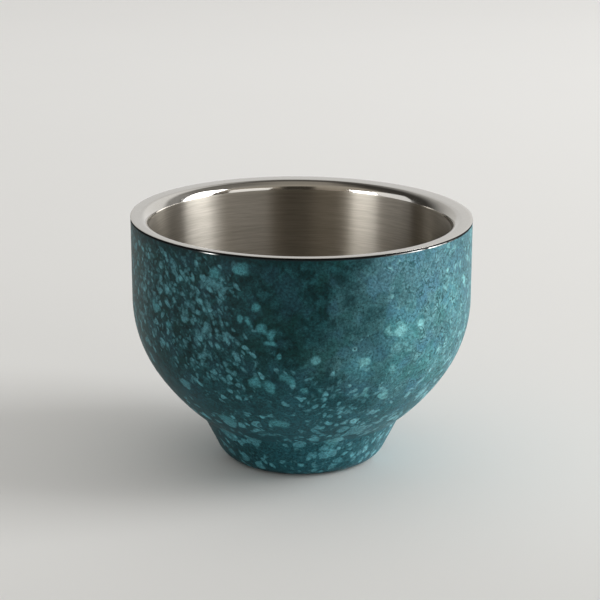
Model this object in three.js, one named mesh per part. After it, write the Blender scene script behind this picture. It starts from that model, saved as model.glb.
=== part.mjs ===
// Double-walled sake cup: a drawn steel liner with a rolled, polished rim sits in a patinated
// shell with a tapered foot. A plate, a seal and a cover close the foot from below, and the
// space between the walls is empty. Millimetres, +Z up. The origin is on the cup's axis, at the
// level of the surface that the cup stands on.

import * as THREE from 'three';

const degrees = THREE.MathUtils.degToRad;

// Overall
const HEIGHT = 51.65;
const RIM_RADIUS = 35;
const FIT_GAP = 0.3; // between pieces that fit into one another

// Rim, which is part of the liner
const RIM_OVERHANG = 0.05; // the rim stands out this far past the shell
const ROLL_RADIUS = 2.3; // convex roll from the rim's flat top to the inside wall
const RIM_STEP = 1; // flat ring of full thickness between the roll and the lip
const LIP_THICKNESS = 0.15; // thin edge that laps over the shell's top edge
const LIP_ROUND = 0.07;
const SEAM = 0.15; // open seam between the lip and the shell's top edge
const LINER_WALL = 0.5;
const LINER_SWEEP = degrees(68); // the bowl turns this far before the dished bottom starts

// Shell: upright wall, two tangent arcs down to the waist, and a foot that narrows to the floor
const SHELL_WALL = 0.6;
const SHELL_EDGE_ROUND = 0.25;
const SHOULDER_HEIGHT = 34.5; // the upright wall starts to turn in here
const SHOULDER_ARC = 27;
const SHOULDER_SWEEP = degrees(33);
const LOWER_ARC = 44;
const WAIST_FILLET = 2.5;
const FOOT_RADIUS = 16.35; // where the foot's cone would meet the floor, but for its rounding
const FOOT_TAPER = degrees(26.3);
const FOOT_ROUND = 4.35;

// Underside of the foot: standing ring, neck and ledge, all turned from the shell's sheet
const STANDING_WIDTH = 1.4;
const NECK_BEND = 0.8;
const LEDGE_HEIGHT = 2.4;
const LEDGE_WIDTH = 1.8;

// Pieces that close the foot
const PLATE_THICKNESS = 0.6;
const PORT_RADIUS = 0.6;
const DIMPLE_RADIUS = 2;
const DIMPLE_DEPTH = 0.6;
const DIMPLE_SLOPE = degrees(45);
const SEAL_HEIGHT = 0.4;
const COVER_THICKNESS = 0.6;
const COVER_ROUND = 0.25;

// Getter and the strap over it
const GETTER_RADIUS = 1.5;
const GETTER_HEIGHT = 1.2;
const CLIP_WIDTH = 1.8;
const CLIP_THICKNESS = 0.3;
const CLIP_FOOT = 1;

// Facets
const CHORD_ERROR = 0.06;
const FEWEST_CHORDS = 2;
const LARGE_SEGMENTS = 60;
const SMALL_SEGMENTS = 36;
const TINY_SEGMENTS = 20;
const SAME_POINT = 1e-6;

// Finishes
const PATINA = { color: 0x2f666c, roughness: 0.4, metalness: 0.2 };
const BRUSHED_STEEL = { color: 0xb4aea3, roughness: 0.3, metalness: 1 };
const PRESSED_STEEL = { color: 0x9a9a98, roughness: 0.45, metalness: 1 };
const SEAL_GLASS = { color: 0x55585c, roughness: 0.35, metalness: 0 };
const GETTER_METAL = { color: 0x77726a, roughness: 0.8, metalness: 0.4 };

const HALF_TURN = Math.PI;
const QUARTER_TURN = Math.PI / 2;

// Outlines are drawn in the half plane of radius and height
const point = (radius, height) => new THREE.Vector2(radius, height);
const direction = (angle) => point(Math.cos(angle), Math.sin(angle));
const along = (start, heading, distance) => heading.clone().multiplyScalar(distance).add(start);

// Points along an arc from one angle to another, close enough together for the chord error
function arc(centre, radius, from, to) {
  const chordAngle = 2 * Math.acos(Math.max(0, 1 - CHORD_ERROR / radius));
  const count = Math.max(FEWEST_CHORDS, Math.ceil(Math.abs(to - from) / chordAngle));
  const steps = Array.from({ length: count + 1 }, (_, i) => i / count);
  return steps.map((t) => along(centre, direction(from + (to - from) * t), radius));
}

// A solid of revolution about Z. Its outline runs up the outside and back down the inside, and
// is closed here unless it starts and ends on the axis.
function revolve(outline, segments) {
  const points = outline.filter((p, i) => i === 0 || p.distanceTo(outline[i - 1]) > SAME_POINT);
  if (points[0].x > SAME_POINT) {
    points.push(points[0].clone());
  }
  return new THREE.LatheGeometry(points, segments).rotateX(QUARTER_TURN);
}

function piece(name, geometry, finish) {
  const mesh = new THREE.Mesh(geometry, new THREE.MeshStandardMaterial(finish));
  mesh.name = name;
  return mesh;
}

// The shell's two bowl arcs, tangent to its upright wall and to each other
const shellRadius = RIM_RADIUS - RIM_OVERHANG;
const shellTop = HEIGHT - LIP_THICKNESS - SEAM;
const shoulderCentre = point(shellRadius - SHOULDER_ARC, SHOULDER_HEIGHT);
const lowerCentre = along(shoulderCentre, direction(-SHOULDER_SWEEP), SHOULDER_ARC - LOWER_ARC);

// The foot's cone, and the waist's fillet between it and the lower arc
const coneBase = point(FOOT_RADIUS, 0);
const coneUp = direction(QUARTER_TURN - FOOT_TAPER);
const coneOut = direction(-FOOT_TAPER);
const filletStart = along(coneBase, coneOut, WAIST_FILLET);
const fromLower = filletStart.clone().sub(lowerCentre);
const nearest = -fromLower.dot(coneUp);
const halfChord = Math.sqrt(nearest ** 2 + (LOWER_ARC + WAIST_FILLET) ** 2 - fromLower.lengthSq());
const filletCentre = along(filletStart, coneUp, nearest - halfChord);
const waistAngle = filletCentre.clone().sub(lowerCentre).angle() - 2 * HALF_TURN;

// The rounding between the foot's cone and the floor
const roundStart = along(coneBase, coneOut, -FOOT_ROUND);
const footCentre = along(roundStart, coneUp, (FOOT_ROUND - roundStart.y) / coneUp.y);

// The shell's wall at a depth under its outer face, from the standing ring up to the shoulder
function shellWall(depth) {
  return [
    ...arc(footCentre, FOOT_ROUND - depth, -QUARTER_TURN, -FOOT_TAPER),
    ...arc(filletCentre, WAIST_FILLET + depth, HALF_TURN - FOOT_TAPER, HALF_TURN + waistAngle),
    ...arc(lowerCentre, LOWER_ARC - depth, waistAngle, -SHOULDER_SWEEP),
    ...arc(shoulderCentre, SHOULDER_ARC - depth, -SHOULDER_SWEEP, 0),
  ];
}

// Underside of the foot
const neckRadius = footCentre.x - STANDING_WIDTH - NECK_BEND;
const neckCentre = point(neckRadius + NECK_BEND, NECK_BEND);
const ledgeRadius = neckRadius - LEDGE_WIDTH;
const ledgeTop = LEDGE_HEIGHT + SHELL_WALL;

function outerShell() {
  const edgeCentre = point(shellRadius - SHELL_EDGE_ROUND, shellTop - SHELL_EDGE_ROUND);
  const outline = [
    ...shellWall(0),
    ...arc(edgeCentre, SHELL_EDGE_ROUND, 0, QUARTER_TURN),
    point(shellRadius - SHELL_WALL, shellTop),
    ...shellWall(SHELL_WALL).reverse(),
    ...arc(neckCentre, NECK_BEND - SHELL_WALL, -QUARTER_TURN, -HALF_TURN),
    point(neckRadius + SHELL_WALL, ledgeTop),
    point(ledgeRadius, ledgeTop),
    point(ledgeRadius, LEDGE_HEIGHT),
    point(neckRadius, LEDGE_HEIGHT),
    ...arc(neckCentre, NECK_BEND, -HALF_TURN, -QUARTER_TURN),
  ];
  return piece('outer_shell', revolve(outline, LARGE_SEGMENTS), PATINA);
}

// The liner's wall runs beside the shell's, and its bottom is a shallow dish centred on the axis
const lipStart = shellRadius - SHELL_WALL - FIT_GAP;
const rollCentre = point(lipStart - RIM_STEP, HEIGHT - ROLL_RADIUS);
const bowlArc = rollCentre.x - ROLL_RADIUS - shoulderCentre.x;
const dishReach = shoulderCentre.x / Math.cos(LINER_SWEEP);
const dishCentre = point(0, shoulderCentre.y + dishReach * Math.sin(LINER_SWEEP));

// The liner's wall at a depth under its inside face, from the bottom up over the roll
function linerWall(depth) {
  return [
    ...arc(dishCentre, bowlArc + dishReach + depth, -QUARTER_TURN, -LINER_SWEEP),
    ...arc(shoulderCentre, bowlArc + depth, -LINER_SWEEP, 0),
    ...arc(rollCentre, ROLL_RADIUS - depth, HALF_TURN, QUARTER_TURN),
  ];
}

function innerCup() {
  const lipCentre = point(RIM_RADIUS - LIP_ROUND, HEIGHT - LIP_ROUND);
  const outline = [
    ...linerWall(LINER_WALL),
    point(lipStart, HEIGHT - LINER_WALL),
    point(lipStart, HEIGHT - LIP_THICKNESS),
    point(RIM_RADIUS, HEIGHT - LIP_THICKNESS),
    ...arc(lipCentre, LIP_ROUND, 0, QUARTER_TURN),
    ...linerWall(0).reverse(),
  ];
  return piece('inner_cup', revolve(outline, LARGE_SEGMENTS), BRUSHED_STEEL);
}

// Base plate, pressed up against the ledge, with the port in the middle of a pressed dimple
const discRadius = neckRadius - FIT_GAP;
const plateTop = LEDGE_HEIGHT;
const plateBottom = plateTop - PLATE_THICKNESS;
const dimpleBottom = plateBottom + DIMPLE_DEPTH;
const slopeWidth = DIMPLE_DEPTH / Math.tan(DIMPLE_SLOPE);
const slopeShift = PLATE_THICKNESS * Math.tan(DIMPLE_SLOPE / 2);
const dimpleOuter = DIMPLE_RADIUS + slopeShift + slopeWidth;

function basePlate() {
  const outline = [
    point(PORT_RADIUS, dimpleBottom),
    point(DIMPLE_RADIUS, dimpleBottom),
    point(DIMPLE_RADIUS + slopeWidth, plateBottom),
    point(discRadius, plateBottom),
    point(discRadius, plateTop),
    point(dimpleOuter, plateTop),
    point(DIMPLE_RADIUS + slopeShift, plateTop + DIMPLE_DEPTH),
    point(PORT_RADIUS, plateTop + DIMPLE_DEPTH),
  ];
  return piece('base_plate', revolve(outline, SMALL_SEGMENTS), PRESSED_STEEL);
}

// Seal: a low bead in the dimple, with a stem up into the port
function portSeal() {
  const beadRadius = DIMPLE_RADIUS - FIT_GAP;
  const domeRadius = (beadRadius ** 2 + SEAL_HEIGHT ** 2) / (2 * SEAL_HEIGHT);
  const domeCentre = point(0, dimpleBottom - SEAL_HEIGHT + domeRadius);
  const domeEdge = -Math.acos(beadRadius / domeRadius);
  const stemRadius = PORT_RADIUS - FIT_GAP;
  const stemTop = plateTop + DIMPLE_DEPTH;
  const outline = [
    ...arc(domeCentre, domeRadius, -QUARTER_TURN, domeEdge),
    point(stemRadius, dimpleBottom),
    point(stemRadius, stemTop),
    point(0, stemTop),
  ];
  return piece('port_seal', revolve(outline, TINY_SEGMENTS), SEAL_GLASS);
}

// Cover: the plain disc that shows when the cup is turned over
function baseCover() {
  const coverBottom = plateBottom - COVER_THICKNESS;
  const edgeCentre = point(discRadius - COVER_ROUND, coverBottom + COVER_ROUND);
  const outline = [
    point(0, coverBottom),
    ...arc(edgeCentre, COVER_ROUND, -QUARTER_TURN, 0),
    point(discRadius, plateBottom),
    point(0, plateBottom),
  ];
  return piece('base_cover', revolve(outline, SMALL_SEGMENTS), BRUSHED_STEEL);
}

function getterPellet() {
  const pellet = new THREE.CylinderGeometry(GETTER_RADIUS, GETTER_RADIUS, GETTER_HEIGHT, TINY_SEGMENTS);
  pellet.rotateX(QUARTER_TURN).translate(0, 0, GETTER_HEIGHT / 2);
  return piece('getter_pellet', pellet, GETTER_METAL);
}

// Strap over the getter, with a foot on the plate at each side
function getterClip() {
  const leg = GETTER_RADIUS + FIT_GAP;
  const legOuter = leg + CLIP_THICKNESS;
  const footEnd = legOuter + CLIP_FOOT;
  const strapTop = GETTER_HEIGHT + CLIP_THICKNESS;
  const strap = new THREE.Shape([
    point(-footEnd, 0),
    point(-leg, 0),
    point(-leg, GETTER_HEIGHT),
    point(leg, GETTER_HEIGHT),
    point(leg, 0),
    point(footEnd, 0),
    point(footEnd, CLIP_THICKNESS),
    point(legOuter, CLIP_THICKNESS),
    point(legOuter, strapTop),
    point(-legOuter, strapTop),
    point(-legOuter, CLIP_THICKNESS),
    point(-footEnd, CLIP_THICKNESS),
  ]);
  const clip = new THREE.ExtrudeGeometry(strap, { depth: CLIP_WIDTH, bevelEnabled: false });
  clip.rotateX(QUARTER_TURN).translate(0, CLIP_WIDTH / 2, 0);
  return piece('getter_clip', clip, PRESSED_STEEL);
}

// The getter and its strap stand on the plate, beside the dimple
const getter = new THREE.Group();
getter.add(getterPellet(), getterClip());
getter.position.set(0, dimpleOuter + FIT_GAP + GETTER_RADIUS, plateTop);

const cup = new THREE.Group();
cup.name = 'sake_cup';
cup.add(outerShell(), innerCup(), basePlate(), portSeal(), baseCover(), getter);

export default cup;
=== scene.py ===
import math

import bmesh
import bpy
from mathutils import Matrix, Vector


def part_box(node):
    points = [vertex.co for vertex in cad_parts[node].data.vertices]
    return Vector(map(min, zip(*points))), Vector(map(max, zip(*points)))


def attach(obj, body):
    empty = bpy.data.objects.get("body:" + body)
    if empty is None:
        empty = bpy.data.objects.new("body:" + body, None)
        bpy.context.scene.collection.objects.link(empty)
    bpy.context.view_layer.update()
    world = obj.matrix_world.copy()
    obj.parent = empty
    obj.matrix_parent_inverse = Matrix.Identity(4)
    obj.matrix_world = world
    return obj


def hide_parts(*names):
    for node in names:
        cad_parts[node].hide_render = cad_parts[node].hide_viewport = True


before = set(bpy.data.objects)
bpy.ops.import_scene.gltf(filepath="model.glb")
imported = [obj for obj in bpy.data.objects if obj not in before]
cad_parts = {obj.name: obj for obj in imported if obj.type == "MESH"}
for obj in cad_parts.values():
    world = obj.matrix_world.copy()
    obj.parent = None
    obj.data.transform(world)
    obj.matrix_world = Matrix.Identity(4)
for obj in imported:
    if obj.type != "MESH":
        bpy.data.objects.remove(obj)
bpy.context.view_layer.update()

# Driving sizes in metres, the same as the CAD source's
MM = 0.001
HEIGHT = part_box("inner_cup")[1].z
RIM_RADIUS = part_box("inner_cup")[1].x
FIT_GAP = 0.3 * MM
RIM_OVERHANG = 0.05 * MM
ROLL_RADIUS = 2.3 * MM
RIM_STEP = 1.0 * MM
LIP_THICKNESS = 0.15 * MM
LIP_ROUND = 0.07 * MM
SEAM = 0.15 * MM
LINER_WALL = 0.5 * MM
LINER_SWEEP = math.radians(68)
SHELL_WALL = 0.6 * MM
SHELL_EDGE_ROUND = 0.25 * MM
SHOULDER_HEIGHT = 34.5 * MM
SHOULDER_ARC = 27 * MM
SHOULDER_SWEEP = math.radians(33)
LOWER_ARC = 44 * MM
WAIST_FILLET = 2.5 * MM
FOOT_RADIUS = 16.35 * MM
FOOT_TAPER = math.radians(26.3)
FOOT_ROUND = 4.35 * MM
STANDING_WIDTH = 1.4 * MM
NECK_BEND = 0.8 * MM
LEDGE_HEIGHT = 2.4 * MM
LEDGE_WIDTH = 1.8 * MM
LEDGE_ROUND = 0.12 * MM
PLATE_THICKNESS = 0.6 * MM
COVER_THICKNESS = 0.6 * MM
COVER_ROUND = 0.25 * MM

# Marks of handwork that the photograph shows
BOWL_OFFSET = Vector((-0.3, -0.75, 0)) * MM
SLANT = math.tan(math.radians(0.55))
SLANT_START = 28 * MM
SLANT_END = 47 * MM
POLISH_SHARE = 0.15
# WORN_SHARE: rubbed share of the shell's edge rounding, the rest takes painted seam shade.
# LIP_SLOPE: lip faces steeper than this take the painted seam shade.
WORN_SHARE = 0.75
LIP_SLOPE = 0.7

# Blooms of the patina that stand out: place and reach in millimetres
BLOOMS = [
    ((19, -29.5, 35.5), 2.5),
    ((16.5, -30.5, 36), 1.6),
    ((11.5, -32.5, 29.5), 1.7),
    ((17.5, -29, 27), 2.0),
    ((23.5, -26, 36), 1.6),
    ((32.5, -13, 41.5), 2.4),
    ((-12, -32.5, 38.5), 1.6),
    ((-9.8, -33.2, 38), 1.7),
    ((-7.8, -33.8, 37.2), 1.7),
    ((-6, -34.5, 36.5), 1.8),
    ((-5.8, -34.4, 34.5), 1.6),
    ((-8.5, -34, 41.5), 2.0),
    ((-8.5, -32.5, 26), 1.8),
    ((-6, -32.5, 25), 2.2),
    ((-3, -34, 27), 2.0),
    ((-28.5, -20, 37.5), 2.4),
    ((-26, -23.5, 34.5), 1.8),
    ((-16.5, -31, 47.5), 2.2),
    ((-11.5, -33, 49), 2.1),
    ((-14.5, -22.5, 14.5), 3.2),
    ((-4.5, -27, 15.5), 2.5),
    ((5.5, -20, 9), 2.8),
    ((0.5, -33.5, 30), 1.8),
    ((2.5, -34, 31.5), 1.6),
    ((10, -31, 23), 1.6),
    ((12.5, -30, 23), 1.5),
    ((16, -27.5, 21.5), 1.7),
    ((0.5, -32.5, 24), 1.5),
    ((4, -32.5, 24), 1.5),
    ((-6.5, -33.5, 31.5), 1.4),
    ((-4.5, -34, 31.5), 1.4),
]

# Wide soft patches of the even side, light and dark ones
GLOWS = [
    ((20, -28.5, 35.5), 7.5),
    ((18, -28.5, 27), 6.0),
    ((25, -23, 28), 6.0),
    ((11.5, -32.5, 29), 5.0),
    ((29.5, -18.5, 39), 6.0),
]
BLOTCHES = [
    ((13.5, -32, 39), 8.0),
    ((15.5, -31, 32.5), 6.0),
    ((7.5, -33.5, 35.5), 8.0),
    ((20, -28, 41.5), 5.0),
    ((27.5, -20, 32.5), 5.0),
]

# Other places of the patina with their reach in millimetres
CLUSTER = ((-21, -27, 36), 24.0)
CALM = ((4, -35, 44), 20.0)
BARE = ((-23, -20, 20), 19.0)
RUBBED = [((24, -25, 51), 12.0), ((-17.5, -30, 51), 3.0)]
LEAN = 0.45

# Patina colours. Pairs are for the dark side and the even side, or for low and high mottle.
# The even side's lighter values are partly painted light from the lamps on the right.
GREEN_BLACK = (0.001, 0.024, 0.027)
DARK_MOTTLE = (0.012, 0.072, 0.083)
DARK_BLUISH = (0.013, 0.058, 0.078)
DARK_MOSSY = (0.004, 0.040, 0.038)
DARK_BELT = (0.017, 0.098, 0.124)
PALE_MOTTLE = ((0.044, 0.160, 0.186), (0.178, 0.404, 0.440))
PALE_BLUISH = (0.070, 0.205, 0.300)
PALE_SLATY = (0.105, 0.240, 0.265)
PALE_MOSSY = (0.050, 0.200, 0.195)
PALE_TOP = (0.080, 0.195, 0.260)
PALE_END = (0.066, 0.182, 0.214)
PALE_FOOT = (0.028, 0.150, 0.195)
BLOTCH = (0.022, 0.098, 0.115)
BLOTCH_SHARE = 0.30
GLOW = (0.090, 0.350, 0.385)
GLOW_SHARE = 0.35
TINT = ((0.048, 0.178, 0.210), (0.115, 0.350, 0.388))
BRIGHT = ((0.092, 0.288, 0.340), (0.200, 0.455, 0.485))
LOW_BRIGHT = ((0.098, 0.360, 0.428), (0.340, 0.730, 0.830))
FLARE = ((0.054, 0.230, 0.266), (0.225, 0.540, 0.568))
PAINTED_LEFT_SHEEN = (0.110, 0.210, 0.212)
MARK = (0.014, 0.080, 0.095)
VEIN = (0.012, 0.075, 0.085)

# Depths of the surfaces' fine relief
PATINA_GRAIN = 0.02 * MM
BRUSH_DEPTH = 0.003 * MM
ROLL_WAVE = 0.07 * MM
SPECK_DEPTH = 0.01 * MM

# Floor: half its width in metres, and its tones near, in the middle and far off, darker near
# the camera as painted fall-off of the light
FLOOR_HALF = 3.0
FLOOR_TONES = [
    ((0.655, 0.650, 0.635), (0.665, 0.660, 0.645)),
    ((0.775, 0.770, 0.755), (0.785, 0.780, 0.765)),
    ((0.895, 0.890, 0.880), (0.905, 0.900, 0.890)),
]

# Room that the steel mirrors. Stops are heights of the direction, from 0 to 1.
PALE_WALL = (0.76, 0.75, 0.735)
CEILING = (0.11, 0.102, 0.092)
BACK_STOPS = [
    (0.0, PALE_WALL),
    (0.55, PALE_WALL),
    (0.61, (0.26, 0.245, 0.225)),
    (0.69, CEILING),
    (0.92, CEILING),
    (0.985, (0.32, 0.30, 0.27)),
]
FRONT_STOPS = [
    (0.0, (0.11, 0.094, 0.076)),
    (0.31, (0.18, 0.155, 0.125)),
    (0.57, (0.42, 0.37, 0.305)),
    (0.77, (0.46, 0.415, 0.35)),
    (0.98, (0.34, 0.31, 0.27)),
]
SIDE_DARK = (0.07, 0.064, 0.055)
RIGHT_GREY = (0.36, 0.35, 0.335)
RIGHT_BRIGHT = (0.98, 0.965, 0.945)
LEFT_FADING = ((0.055, 0.051, 0.045), (0.66, 0.645, 0.62))
VAULT = (0.34, 0.325, 0.30)
FRONT_GLOW = (0.42, 0.37, 0.30)
FIGURE = (0.055, 0.047, 0.037)

# Even light on matt surfaces, from the front and from behind, and from the left
AMBIENT = ((0.42, 0.415, 0.40), (0.84, 0.83, 0.81))
AMBIENT_LEFT = (0.25, 0.235, 0.21)

# Lamps: azimuth and elevation in degrees with the distance in metres, width and height
# in metres, power in watts, and whether they light matt surfaces
LAMPS = [
    ("window_right", (89.5, 25, 1.4), (0.665, 1.12), 15.0, True),
    ("window_front", (42, 21, 2.0), (1.2, 1.0), 3.9, True),
    ("board_left", (-53, 14, 2.0), (0.74, 1.2), 18.5, False),
    ("board_side", (-82.5, 18, 2.0), (1.12, 1.6), 5.4, False),
]

# Fineness of the turned meshes
CHORD_ERROR = 0.003 * MM
LONGEST_STEP = 0.8 * MM
SEGMENTS = 256
SMOOTH_ANGLE = math.radians(40)
SAME_POINT = 1e-7

# Camera at the photograph's viewing angle, lens and sensor in millimetres
CAMERA_PLACE = Vector((-0.33, -378.3, 144.27)) * MM
CAMERA_PITCH = math.radians(16.4)
LENS = 114
SENSOR = 36

QUARTER = math.pi / 2
HALF = math.pi


# Outlines in the half plane of radius and height
def heading(angle):
    return Vector((math.cos(angle), math.sin(angle)))


def arc(centre, radius, start, end):
    chord = 2 * math.acos(max(0, 1 - CHORD_ERROR / radius))
    chord = min(chord, LONGEST_STEP / radius)
    count = max(2, math.ceil(abs(end - start) / chord))
    angles = [start + (end - start) * i / count for i in range(count + 1)]
    return [centre + radius * heading(a) for a in angles]


def line(start, end):
    count = max(1, math.ceil((end - start).length / LONGEST_STEP))
    return [start.lerp(end, i / count) for i in range(count + 1)]


# A turned solid. Its outline runs up the outside and back down the inside.
def turned(name, outline):
    points = [outline[0]]
    for p in outline[1:]:
        if (p - points[-1]).length > SAME_POINT:
            points.append(p)
    closed = points[0].x > SAME_POINT
    if closed and (points[-1] - points[0]).length < SAME_POINT:
        points.pop()
    run = [0.0]
    for a, b in zip(points, points[1:]):
        run.append(run[-1] + (b - a).length)
    bm = bmesh.new()
    lay = bm.verts.layers.float_vector.new("lay")
    turns = [2 * math.pi * k / SEGMENTS for k in range(SEGMENTS)]
    rings = []
    for p, travelled in zip(points, run):
        on_axis = p.x < SAME_POINT
        ring = []
        for angle in turns[:1] if on_axis else turns:
            side = heading(angle)
            vert = bm.verts.new((p.x * side.x, p.x * side.y, p.y))
            vert[lay] = (side.x, side.y, travelled / MM)
            ring.append(vert)
        rings.append(ring)
    pairs = list(zip(rings, rings[1:]))
    if closed:
        pairs.append((rings[-1], rings[0]))
    for low, high in pairs:
        for k in range(SEGMENTS):
            n = (k + 1) % SEGMENTS
            corners = [
                low[k % len(low)],
                low[n % len(low)],
                high[n % len(high)],
                high[k % len(high)],
            ]
            bm.faces.new(list(dict.fromkeys(corners)))
    mesh = bpy.data.meshes.new(name)
    bm.to_mesh(mesh)
    bm.free()
    mesh.shade_smooth()
    mesh.set_sharp_from_angle(angle=SMOOTH_ANGLE)
    piece = bpy.data.objects.new(name, mesh)
    bpy.context.scene.collection.objects.link(piece)
    return piece


# The shell's two bowl arcs, its foot and the fillet at the waist
shell_radius = RIM_RADIUS - RIM_OVERHANG
shell_top = HEIGHT - LIP_THICKNESS - SEAM
shoulder_centre = Vector((shell_radius - SHOULDER_ARC, SHOULDER_HEIGHT))
lower_centre = shoulder_centre + (SHOULDER_ARC - LOWER_ARC) * heading(-SHOULDER_SWEEP)
cone_base = Vector((FOOT_RADIUS, 0))
cone_up = heading(QUARTER - FOOT_TAPER)
cone_out = heading(-FOOT_TAPER)
fillet_start = cone_base + WAIST_FILLET * cone_out
from_lower = fillet_start - lower_centre
nearest = -from_lower.dot(cone_up)
reach = LOWER_ARC + WAIST_FILLET
half_chord = math.sqrt(nearest**2 + reach**2 - from_lower.length_squared)
fillet_centre = fillet_start + (nearest - half_chord) * cone_up
waist = fillet_centre - lower_centre
waist_angle = math.atan2(waist.y, waist.x)
round_start = cone_base - FOOT_ROUND * cone_out
foot_centre = round_start + (FOOT_ROUND - round_start.y) / cone_up.y * cone_up
neck_radius = foot_centre.x - STANDING_WIDTH - NECK_BEND
neck_centre = Vector((neck_radius + NECK_BEND, NECK_BEND))
ledge_radius = neck_radius - LEDGE_WIDTH
ledge_top = LEDGE_HEIGHT + SHELL_WALL


def shell_wall(depth):
    foot = arc(foot_centre, FOOT_ROUND - depth, -QUARTER, -FOOT_TAPER)
    fillet = arc(
        fillet_centre, WAIST_FILLET + depth, HALF - FOOT_TAPER, HALF + waist_angle
    )
    lower = arc(lower_centre, LOWER_ARC - depth, waist_angle, -SHOULDER_SWEEP)
    shoulder = arc(shoulder_centre, SHOULDER_ARC - depth, -SHOULDER_SWEEP, 0)
    return foot + line(foot[-1], fillet[0]) + fillet + lower + shoulder


def make_shell():
    edge = Vector((shell_radius - SHELL_EDGE_ROUND, shell_top - SHELL_EDGE_ROUND))
    outside = shell_wall(0)
    inside = shell_wall(SHELL_WALL)[::-1]
    edge_arc = arc(edge, SHELL_EDGE_ROUND, 0, QUARTER)
    wall_top = Vector((shell_radius - SHELL_WALL, shell_top))
    bend_back = arc(neck_centre, NECK_BEND - SHELL_WALL, -QUARTER, -HALF)
    corner = Vector((ledge_radius + LEDGE_ROUND, LEDGE_HEIGHT + LEDGE_ROUND))
    outline = outside + line(outside[-1], edge_arc[0]) + edge_arc
    outline += line(wall_top, inside[0]) + inside + bend_back
    outline += [Vector((neck_radius + SHELL_WALL, ledge_top))]
    outline += [Vector((ledge_radius, ledge_top))]
    outline += arc(corner, LEDGE_ROUND, HALF, HALF + QUARTER)
    outline += [Vector((neck_radius, LEDGE_HEIGHT))]
    outline += arc(neck_centre, NECK_BEND, -HALF, -QUARTER)
    return turned("patina_shell", outline)


# The liner: dished bottom, bowl, roll and the lip over the shell's edge
lip_start = shell_radius - SHELL_WALL - FIT_GAP
roll_centre = Vector((lip_start - RIM_STEP, HEIGHT - ROLL_RADIUS))
liner_radius = roll_centre.x - ROLL_RADIUS
bowl_arc = liner_radius - shoulder_centre.x
dish_reach = shoulder_centre.x / math.cos(LINER_SWEEP)
dish_centre = Vector((0, shoulder_centre.y + dish_reach * math.sin(LINER_SWEEP)))


def liner_wall(depth):
    dish = arc(dish_centre, bowl_arc + dish_reach + depth, -QUARTER, -LINER_SWEEP)
    bowl = arc(shoulder_centre, bowl_arc + depth, -LINER_SWEEP, 0)
    roll = arc(roll_centre, ROLL_RADIUS - depth, HALF, QUARTER)
    dish[0].x = 0
    return dish + bowl + line(bowl[-1], roll[0]) + roll


def make_liner():
    lip = Vector((RIM_RADIUS - LIP_ROUND, HEIGHT - LIP_ROUND))
    under = HEIGHT - LIP_THICKNESS
    lip_arc = arc(lip, LIP_ROUND, 0, QUARTER)
    inside = liner_wall(0)[::-1]
    outline = liner_wall(LINER_WALL)
    outline += [Vector((lip_start, HEIGHT - LINER_WALL))]
    outline += line(Vector((lip_start, under)), Vector((RIM_RADIUS, under)))
    outline += lip_arc + line(lip_arc[-1], inside[0]) + inside
    return turned("steel_liner", outline)


def make_cover():
    radius = neck_radius - FIT_GAP
    top = LEDGE_HEIGHT - PLATE_THICKNESS
    bottom = top - COVER_THICKNESS
    edge = Vector((radius - COVER_ROUND, bottom + COVER_ROUND))
    edge_arc = arc(edge, COVER_ROUND, -QUARTER, 0)
    outline = line(Vector((0, bottom)), edge_arc[0]) + edge_arc
    outline += [Vector((radius, top)), Vector((0, top))]
    return turned("cover_disc", outline)


def smooth_share(value, low, high):
    share = min(max((value - low) / (high - low), 0), 1)
    return share * share * (3 - 2 * share)


def slant(piece):
    """The rim stands level on one side and falls away to the other."""
    for vert in piece.data.vertices:
        share = smooth_share(vert.co.z, SLANT_START, SLANT_END)
        vert.co.z -= SLANT * (vert.co.x + RIM_RADIUS) * share


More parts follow.
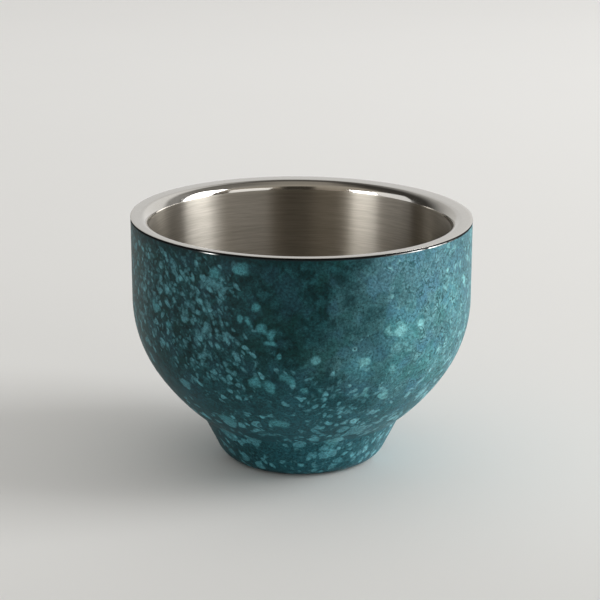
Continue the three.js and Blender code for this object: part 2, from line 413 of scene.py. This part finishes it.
# Materials
class Nodes:
    """A node tree, and short ways to add nodes to it."""

    def __init__(self, tree):
        self.tree = tree

    def add(self, kind, inputs=None, **settings):
        node = self.tree.nodes.new("ShaderNode" + kind)
        for key, value in settings.items():
            setattr(node, key, value)
        for key, value in (inputs or {}).items():
            self.put(node.inputs[key], value)
        return node

    def put(self, socket, value):
        if isinstance(value, bpy.types.NodeSocket):
            self.tree.links.new(value, socket)
        elif isinstance(value, tuple) and len(value) == 3 and socket.type == "RGBA":
            socket.default_value = (*value, 1)
        else:
            socket.default_value = value

    def math(self, operation, a, b=0.0):
        return self.add("Math", {0: a, 1: b}, operation=operation).outputs[0]

    def plus(self, a, b):
        return self.math("ADD", a, b)

    def minus(self, a, b):
        return self.math("SUBTRACT", a, b)

    def times(self, a, b):
        return self.math("MULTIPLY", a, b)

    def absolute(self, value):
        return self.math("ABSOLUTE", value)

    def noise(self, where, scale, detail=2.0, roughness=0.5):
        inputs = {"Vector": where, "Scale": scale, "Detail": detail, "Roughness": roughness}
        return self.add("TexNoise", inputs).outputs[0]

    def three_noises(self, where, scale, detail=0.0):
        """Three separate noises, as the parts of one colour."""
        inputs = {"Vector": where, "Scale": scale, "Detail": detail}
        return self.add("TexNoise", inputs).outputs[1]

    def cells(self, where, scale):
        return self.add("TexVoronoi", {"Vector": where, "Scale": scale})

    def step(self, value, low, high, start=0.0, end=1.0):
        """Goes smoothly from start to end while the value goes from low to high."""
        node = self.add(
            "MapRange",
            {0: value, 1: low, 2: high, 3: start, 4: end},
            interpolation_type="SMOOTHSTEP",
        )
        return node.outputs[0]

    def mix(self, share, a, b, blend="MIX"):
        node = self.add("Mix", data_type="RGBA", blend_type=blend)
        self.put(node.inputs[0], share)
        self.put(node.inputs[6], a)
        self.put(node.inputs[7], b)
        return node.outputs[2]

    def bump(self, height, distance):
        return self.add("Bump", {"Height": height, "Distance": distance}).outputs[0]

    def scaled(self, where, factor):
        node = self.add("VectorMath", {0: where, 3: factor}, operation="SCALE")
        return node.outputs[0]

    def stretched(self, where, factors):
        node = self.add("VectorMath", {0: where, 1: factors}, operation="MULTIPLY")
        return node.outputs[0]

    def shifted(self, where, by):
        return self.add("VectorMath", {0: where, 1: by}, operation="ADD").outputs[0]

    def warped(self, where, scale, reach):
        """Coordinates pushed about by a smooth noise, by up to half a reach each way."""
        push = self.shifted(self.three_noises(where, scale), (-0.5, -0.5, -0.5))
        return self.shifted(where, self.scaled(push, reach))

    def parts(self, vector):
        return self.add("SeparateXYZ", {0: vector}).outputs

    def colour_parts(self, colour):
        return self.add("SeparateColor", {0: colour}).outputs

    def near(self, where, place, reach, start=1.0):
        """Falls from start at a place to 0 at its reach."""
        node = self.add("VectorMath", {0: where, 1: place}, operation="DISTANCE")
        return self.step(node.outputs["Value"], 0.0, reach, start, 0.0)


class Shader(Nodes):
    """A material with one Principled shader."""

    def __init__(self, name):
        self.material = bpy.data.materials.new(name)
        self.material.use_nodes = True
        super().__init__(self.material.node_tree)
        self.tree.nodes.clear()
        output = self.tree.nodes.new("ShaderNodeOutputMaterial")
        self.bsdf = self.tree.nodes.new("ShaderNodeBsdfPrincipled")
        self.tree.links.new(self.bsdf.outputs[0], output.inputs[0])

    def set(self, **values):
        for key, value in values.items():
            name = key.replace("_", " ").title().replace("Ior", "IOR")
            self.put(self.bsdf.inputs[name], value)

    def millimetres(self):
        return self.scaled(self.add("TexCoord").outputs["Object"], 1 / MM)


class Verdigris(Shader):
    """The patina: mottled ground, flecks and blooms on it, pits and a fine grain."""

    def __init__(self):
        super().__init__("verdigris_patina")
        self.mm = self.millimetres()
        self.across, self.deep, self.up = self.parts(self.mm)
        self.bent = self.warped(self.mm, 0.45, 1.8)
        self.torn = self.warped(self.mm, 0.36, 2.6)
        self.cloud = self.noise(self.mm, 0.055)
        self.mottle = self.noise(self.bent, 0.5, 3.0, 0.6)
        drift = self.three_noises(self.bent, 0.2, 1.0)
        self.bluish, self.slaty, self.mossy = self.colour_parts(drift)
        self.even_and_lit = self.even_and_lit_share()
        bright = self.mix(self.even_and_lit, *BRIGHT)
        low_bright = self.mix(self.even_and_lit, *LOW_BRIGHT)
        self.bright = self.mix(self.step(self.up, 14.0, 34.0, 0.70, 0.0), bright, low_bright)

    def even_and_lit_share(self):
        """One side took the treatment more evenly and is bluer; it is also lighter, partly as
        painted light from the lamps on the right.
        """
        side = self.plus(self.across, self.times(self.cloud, 24.0))
        side = self.minus(side, self.step(self.up, 18.0, 34.0, 5.0, 0.0))
        side = self.plus(side, self.step(self.bluish, 0.25, 0.75, -2.5, 3.5))
        return self.step(side, 13.0, 36.0)

    def dark_ground(self):
        """Green-black with a soft mottle, lighter in a belt round the lower bowl."""
        colour = self.mix(self.step(self.mottle, 0.36, 0.66), GREEN_BLACK, DARK_MOTTLE)
        colour = self.mix(self.step(self.bluish, 0.50, 0.65, 0.0, 0.6), colour, DARK_BLUISH)
        colour = self.mix(self.step(self.mossy, 0.52, 0.67, 0.0, 0.6), colour, DARK_MOSSY)
        belt = self.step(self.up, 14.0, 34.0, 1.0, 0.0)
        belt = self.times(belt, self.step(self.across, -12.0, 0.0, 0.4, 0.8))
        return self.mix(belt, colour, DARK_BELT)

    def pale_ground(self):
        """The ground of the even side, with patches of other hues, lighter partly as painted
        light from the lamps on the right.
        """
        colour = self.mix(self.step(self.mottle, 0.30, 0.70), *PALE_MOTTLE)
        colour = self.mix(self.step(self.bluish, 0.48, 0.62, 0.0, 0.65), colour, PALE_BLUISH)
        colour = self.mix(self.step(self.slaty, 0.50, 0.64, 0.0, 0.35), colour, PALE_SLATY)
        colour = self.mix(self.step(self.mossy, 0.52, 0.66, 0.0, 0.6), colour, PALE_MOSSY)
        colour = self.mix(self.step(self.up, 36.0, 48.0, 0.0, 0.45), colour, PALE_TOP)
        colour = self.mix(self.step(self.across, 25.0, 34.0, 0.0, 0.7), colour, PALE_END)
        return self.mix(self.step(self.up, 14.0, 30.0, 0.6, 0.0), colour, PALE_FOOT)

    def ground(self):
        colour = self.mix(self.even_and_lit, self.dark_ground(), self.pale_ground())
        for place, reach in BLOTCHES:
            share = self.near(self.torn, place, reach, BLOTCH_SHARE)
            colour = self.mix(share, colour, BLOTCH)
        for place, reach in GLOWS:
            share = self.near(self.torn, place, reach, GLOW_SHARE)
            colour = self.mix(share, colour, GLOW)
        return colour

    def thickness(self):
        """How thickly the turquoise flecks lie."""
        thick = self.step(self.cloud, 0.38, 0.62, 0.10, 0.45)
        thick = self.plus(thick, self.near(self.mm, *CLUSTER, 0.65))
        thick = self.plus(thick, self.step(self.up, 14.0, 30.0, 0.24, 0.0))
        thick = self.plus(thick, self.step(self.across, 22.0, 30.0, 0.0, 0.65))
        thick = self.plus(thick, self.step(self.across, -33.0, -27.0, 0.35, 0.0))
        thick = self.minus(thick, self.near(self.mm, *CALM, 1.0))
        thick = self.minus(thick, self.near(self.mm, *BARE, 0.5))
        thick = self.minus(thick, self.step(self.even_and_lit, 0.2, 0.8, 0.0, 0.2))
        return self.step(thick, 0.0, 1.0)

    def dots(self, where, scale, share, size, soft):
        """Soft round dots in a share of the cells, of random size and strength."""
        cells = self.cells(where, scale)
        chance, strength, _ = self.colour_parts(cells.outputs["Color"])
        bare = self.minus(1.0, share)
        radius = self.step(chance, bare, self.plus(bare, 0.3), 0.0, size)
        depth = self.minus(radius, cells.outputs["Distance"])
        return self.times(self.step(depth, 0.0, soft), self.step(strength, 0.0, 1.0, 0.4, 1.0))

    def leaning(self):
        """Coordinates sheared so that the flecks rise outwards on both sides."""
        height = self.minus(self.up, self.times(self.absolute(self.across), LEAN))
        return self.add("CombineXYZ", {0: self.across, 1: self.deep, 2: height}).outputs[0]

    def flecks(self, colour):
        """Faint islands, specks, spots and flakes, all soft at their edges."""
        island = self.noise(self.bent, 0.30)
        island = self.plus(island, self.step(self.up, 12.0, 24.0, 0.04, 0.0))
        island = self.minus(island, self.near(self.mm, *CALM, 0.15))
        colour = self.mix(self.step(island, 0.61, 0.69, 0.0, 0.6), colour, self.bright)
        wavy = self.warped(self.leaning(), 0.7, 1.1)
        thick = self.thickness()
        specks = self.times(self.dots(wavy, 1.0, thick, 0.50, 0.28), 0.9)
        colour = self.mix(specks, colour, self.mix(self.even_and_lit, *TINT))
        colour = self.mix(self.dots(wavy, 0.66, thick, 0.57, 0.34), colour, self.bright)
        lower = self.step(self.up, 10.0, 26.0, 1.0, 0.0)
        share = self.times(lower, self.step(self.across, -6.0, 12.0, 0.38, 0.62))
        return self.mix(self.dots(self.bent, 0.36, share, 0.56, 0.18), colour, self.bright)

    def blooms(self, colour):
        """The larger flecks at places of their own, and a painted sheen along the left edge.
        """
        flare = self.mix(self.even_and_lit, *FLARE)
        for place, reach in BLOOMS:
            share = self.step(self.near(self.torn, place, reach), 0.12, 0.72, 0.0, 0.95)
            colour = self.mix(share, colour, flare)
        # Painted sheen along the left edge of the cup
        return self.mix(self.step(self.across, -34.5, -28.0, 0.18, 0.0), colour, PAINTED_LEFT_SHEEN)

    def pits(self, colour):
        """Bubbles that left a pale spot with a dark pinhole in it, and fine pits."""
        bubble = self.cells(self.mm, 0.11).outputs["Distance"]
        colour = self.mix(self.step(bubble, 0.04, 0.07, 0.8, 0.0), colour, self.bright)
        colour = self.mix(self.step(bubble, 0.012, 0.026, 0.9, 0.0), colour, GREEN_BLACK)
        pit = self.cells(self.mm, 0.55).outputs["Distance"]
        return self.mix(self.step(pit, 0.05, 0.11, 0.8, 0.0), colour, GREEN_BLACK)

    def marks_and_rim_shade(self, colour):
        """Small marks and veins on the even side, and painted shade on the dark side's top
        under the rim.
        """
        rough = self.warped(self.mm, 1.2, 1.2)
        marks = self.dots(rough, 1.1, self.times(self.even_and_lit, 0.55), 0.40, 0.20)
        colour = self.mix(self.times(marks, 0.65), colour, MARK)
        vein = self.absolute(self.minus(self.noise(self.bent, 0.9, 1.0), 0.5))
        vein = self.step(vein, 0.0, 0.11, 0.85, 0.0)
        vein = self.times(vein, self.step(self.mottle, 0.48, 0.58))
        colour = self.mix(self.times(self.even_and_lit, vein), colour, VEIN)
        # Painted shade on the patina just under the rim's overhang
        shadow = self.step(self.across, -4.0, 9.0, 0.8, 0.0)
        shadow = self.times(shadow, self.step(self.up, 48.6, 51.0))
        return self.mix(shadow, colour, GREEN_BLACK)

    def finish(self):
        colour = self.marks_and_rim_shade(self.pits(self.blooms(self.flecks(self.ground()))))
        grain = self.noise(self.mm, 1.9, 4.0, 0.8)
        low = self.step(self.even_and_lit, 0.0, 1.0, 0.42, 0.50)
        high = self.step(self.even_and_lit, 0.0, 1.0, 1.58, 1.54)
        shade = self.step(grain, 0.28, 0.72, low, high)
        grey = self.add("CombineColor", {0: shade, 1: shade, 2: shade}).outputs[0]
        self.set(base_color=self.mix(1.0, colour, grey, "MULTIPLY"))
        self.set(roughness=self.step(grain, 0.3, 0.7, 0.42, 0.52))
        self.set(specular_ior_level=0.12, normal=self.bump(grain, PATINA_GRAIN))
        return self.material


def rubbed_edge():
    """Dark edge of the shell, rubbed through to bright metal in two places."""
    s = Shader("rubbed_edge")
    mm = s.millimetres()
    bare = s.plus(*[s.near(mm, place, reach) for place, reach in RUBBED])
    bare = s.times(bare, s.step(s.noise(mm, 0.8), 0.25, 0.60))
    s.set(base_color=s.mix(bare, (0.012, 0.020, 0.022), (0.62, 0.64, 0.63)))
    s.set(metallic=bare, roughness=s.step(bare, 0.0, 1.0, 0.70, 0.28))
    s.set(specular_ior_level=0.1)
    return s.material


def brushed(name):
    """Steel brushed round and round, which draws reflections out up and down."""
    s = Shader(name)
    lay = s.add("Attribute", attribute_name="lay").outputs["Vector"]
    fine = s.noise(s.stretched(lay, (6, 6, 6)), 1.0, 2.0, 0.6)
    broad = s.noise(s.stretched(lay, (2.5, 2.5, 2.6)), 1.0, 3.0, 0.7)
    lines = s.plus(fine, broad)
    colour = s.mix(s.step(lines, 0.7, 1.3), (0.40, 0.37, 0.325), (0.52, 0.49, 0.435))
    s.set(base_color=colour, metallic=1.0, roughness=s.step(lines, 0.7, 1.3, 0.36, 0.42))
    s.set(anisotropic=1.0, anisotropic_rotation=0.25)
    tangent = s.add("Tangent", direction_type="RADIAL", axis="Z").outputs[0]
    s.set(tangent=tangent, normal=s.bump(lines, BRUSH_DEPTH))
    return s.material


def polished():
    s = Shader("polished_steel")
    mm = s.millimetres()
    wave = s.noise(mm, 0.12, 1.0)
    smear = s.noise(mm, 0.9, 3.0, 0.6)
    colour = s.mix(smear, (0.54, 0.525, 0.495), (0.60, 0.585, 0.555))
    s.set(base_color=colour, metallic=1.0, roughness=s.step(smear, 0.3, 0.7, 0.08, 0.13))
    s.set(normal=s.bump(wave, ROLL_WAVE))
    return s.material


def plain_metal(name, light, dark, metal, rough, shine=0.5):
    s = Shader(name)
    speck = s.noise(s.millimetres(), 3.0, 3.0, 0.6)
    s.set(base_color=s.mix(speck, dark, light), metallic=metal, specular_ior_level=shine)
    s.set(roughness=s.step(speck, 0.3, 0.7, rough - 0.06, rough + 0.06))
    s.set(normal=s.bump(speck, SPECK_DEPTH))
    return s.material


def pale_floor():
    """Paler with the distance, as the photograph's floor is."""
    s = Shader("pale_floor")
    where = s.add("TexCoord").outputs["Object"]
    mottle = s.noise(where, 14.0)
    along = s.parts(where)[1]
    near, middle, far = [s.mix(mottle, *pair) for pair in FLOOR_TONES]
    # Darker near the camera: painted fall-off of the light over the floor.
    tone = s.mix(s.step(along, -0.12, -0.02), near, middle)
    s.set(base_color=s.mix(s.step(along, 0.0, 0.6), tone, far), roughness=0.75)
    return s.material


# Pieces
shell = make_shell()
shell.data.materials.append(Verdigris().finish())
shell.data.materials.append(rubbed_edge())
# Near-black on the faces in the seam: painted shade of the gap between the liner's lip and the
# shell.
seam_shade_black = plain_metal(
    "seam_shade_black", (0.012, 0.013, 0.013), (0.006, 0.007, 0.007), 0.0, 0.8, 0.1
)
shell.data.materials.append(seam_shade_black)
# The edge's top and inner faces take the painted seam shade, its steep outer faces the rubbed
# edge.
edge_start = shell_top - SHELL_EDGE_ROUND
for face in shell.data.polygons:
    if face.center.z > edge_start:
        steep = face.center.z < edge_start + WORN_SHARE * SHELL_EDGE_ROUND
        outside = face.normal.xy.dot(face.center.xy) > 0
        face.material_index = 1 if steep and outside else 2
slant(shell)
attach(shell, "root")
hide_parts("outer_shell")

liner = make_liner()
for vert in liner.data.vertices:
    share = smooth_share(-vert.co.xy.length, -lip_start, -roll_centre.x)
    vert.co += BOWL_OFFSET * share
liner.data.materials.append(brushed("brushed_steel"))
liner.data.materials.append(polished())
liner.data.materials.append(seam_shade_black)
polish_start = roll_centre.y + POLISH_SHARE * ROLL_RADIUS
for face in liner.data.polygons:
    face.material_index = int(face.center.z > polish_start)
    # The lip's outer face and underside take the painted seam shade.
    if face.center.xy.length > lip_start and face.normal.z < LIP_SLOPE:
        face.material_index = 2
slant(liner)
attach(liner, "root")
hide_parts("inner_cup")

cover = make_cover()
cover.data.materials.append(brushed("brushed_cover"))
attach(cover, "root")
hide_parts("base_cover")

# The four hidden pieces keep their CAD meshes
pressed = plain_metal("pressed_steel", (0.42, 0.42, 0.41), (0.32, 0.32, 0.31), 1.0, 0.42)
sintered = plain_metal("getter_metal", (0.20, 0.18, 0.16), (0.11, 0.10, 0.09), 0.4, 0.8)
glass = plain_metal("seal_glass", (0.10, 0.11, 0.12), (0.06, 0.065, 0.07), 0.0, 0.3)
for node, material in (
    ("base_plate", pressed),
    ("getter_clip", pressed),
    ("getter_pellet", sintered),
    ("port_seal", glass),
):
    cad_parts[node].data.materials.clear()
    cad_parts[node].data.materials.append(material)

# Stage
mesh = bpy.data.meshes.new("floor")
signs = [(-1, -1), (1, -1), (1, 1), (-1, 1)]
corners = [(x * FLOOR_HALF, y * FLOOR_HALF, 0) for x, y in signs]
mesh.from_pydata(corners, [], [(0, 1, 2, 3)])
mesh.materials.append(pale_floor())
floor = bpy.data.objects.new("floor", mesh)
bpy.context.scene.collection.objects.link(floor)

# Surroundings by direction: across to the right, along away from the camera, and up
world = bpy.data.worlds.new("room")
bpy.context.scene.world = world
world.use_nodes = True
room = Nodes(world.node_tree)
across, along, up = room.parts(room.add("TexCoord").outputs["Generated"])


def wall(stops):
    """Colours that change with the height of the direction."""
    node = room.add("ValToRGB", {0: up})
    while len(node.color_ramp.elements) < len(stops):
        node.color_ramp.elements.new(0.5)
    for element, (place, colour) in zip(node.color_ramp.elements, stops):
        element.position = place
        element.color = (*colour, 1)
    return node.outputs[0]


def mirrored_room():
    """What the steel mirrors: walls, a dull ceiling, dim sides and a figure in front."""
    aside = room.absolute(across)
    sides = room.times(room.step(along, -0.40, 0.0), room.step(aside, 0.12, 0.42))
    colour = room.mix(sides, wall(FRONT_STOPS), SIDE_DARK)
    behind = room.times(room.step(along, 0.20, 0.40), room.step(aside, 0.38, 0.60, 1.0, 0.0))
    colour = room.mix(behind, colour, wall(BACK_STOPS))
    rear = room.times(room.step(along, 0.15, 0.40), room.step(up, 0.62, 0.78, 1.0, 0.0))
    right = room.times(rear, room.step(across, 0.10, 0.40))
    colour = room.mix(right, colour, RIGHT_GREY)
    bright = room.times(room.step(along, 0.54, 0.69), room.step(across, 0.04, 0.22))
    colour = room.mix(bright, colour, RIGHT_BRIGHT)
    fading = room.mix(room.step(along, 0.42, 0.97), *LEFT_FADING)
    left = room.times(room.step(along, 0.05, 0.25), room.step(across, -0.22, -0.08, 1.0, 0.0))
    colour = room.mix(left, colour, fading)
    vault = room.times(room.step(up, 0.60, 0.75), room.step(across, 0.0, 0.5, 0.0, 0.6))
    colour = room.mix(vault, colour, VAULT)
    ahead = room.step(along, -0.75, -0.65, 1.0, 0.0)
    glow = room.times(ahead, room.step(across, -0.40, -0.08, 0.8, 0.0))
    colour = room.mix(glow, colour, FRONT_GLOW)
    figure = room.absolute(room.minus(across, 0.04))
    figure = room.times(ahead, room.step(figure, 0.16, 0.24, 1.0, 0.0))
    return room.mix(figure, colour, FIGURE)


def soft_room():
    """The even light on matt surfaces, less of it from the left."""
    colour = room.mix(room.step(along, -0.6, 0.6), *AMBIENT)
    return room.mix(room.step(across, -0.95, -0.70, 0.8, 0.0), colour, AMBIENT_LEFT)


glossy = room.add("LightPath").outputs["Is Glossy Ray"]
background = world.node_tree.nodes["Background"]
room.put(background.inputs[0], room.mix(glossy, soft_room(), mirrored_room()))


# Lamps
def soft_lamp(name, place, size, watts):
    data = bpy.data.lights.new(name, "AREA")
    data.shape = "RECTANGLE"
    data.size, data.size_y = size
    data.energy = watts
    lamp = bpy.data.objects.new(name, data)
    lamp.visible_camera = False
    lamp.location = place
    lamp.rotation_mode = "QUATERNION"
    lamp.rotation_quaternion = (-place).to_track_quat("-Z", "Y")
    bpy.context.scene.collection.objects.link(lamp)
    return lamp


def toward(azimuth, elevation, distance):
    """A place seen from the cup: azimuth 0 is the camera's side and 90 is +X, in degrees."""
    a, e = math.radians(azimuth), math.radians(elevation)
    side = Vector((math.cos(e) * math.sin(a), -math.cos(e) * math.cos(a), math.sin(e)))
    return side * distance


for name, way, size, watts, lights_matt in LAMPS:
    lamp = soft_lamp(name, toward(*way), size, watts)
    lamp.visible_diffuse = lights_matt

# Camera
data = bpy.data.cameras.new("camera")
data.lens = LENS
data.sensor_width = SENSOR
camera = bpy.data.objects.new("camera", data)
camera.location = CAMERA_PLACE
camera.rotation_euler = (QUARTER - CAMERA_PITCH, 0, 0)
bpy.context.scene.collection.objects.link(camera)
bpy.context.scene.camera = camera
bpy.context.scene.view_settings.view_transform = "Standard"
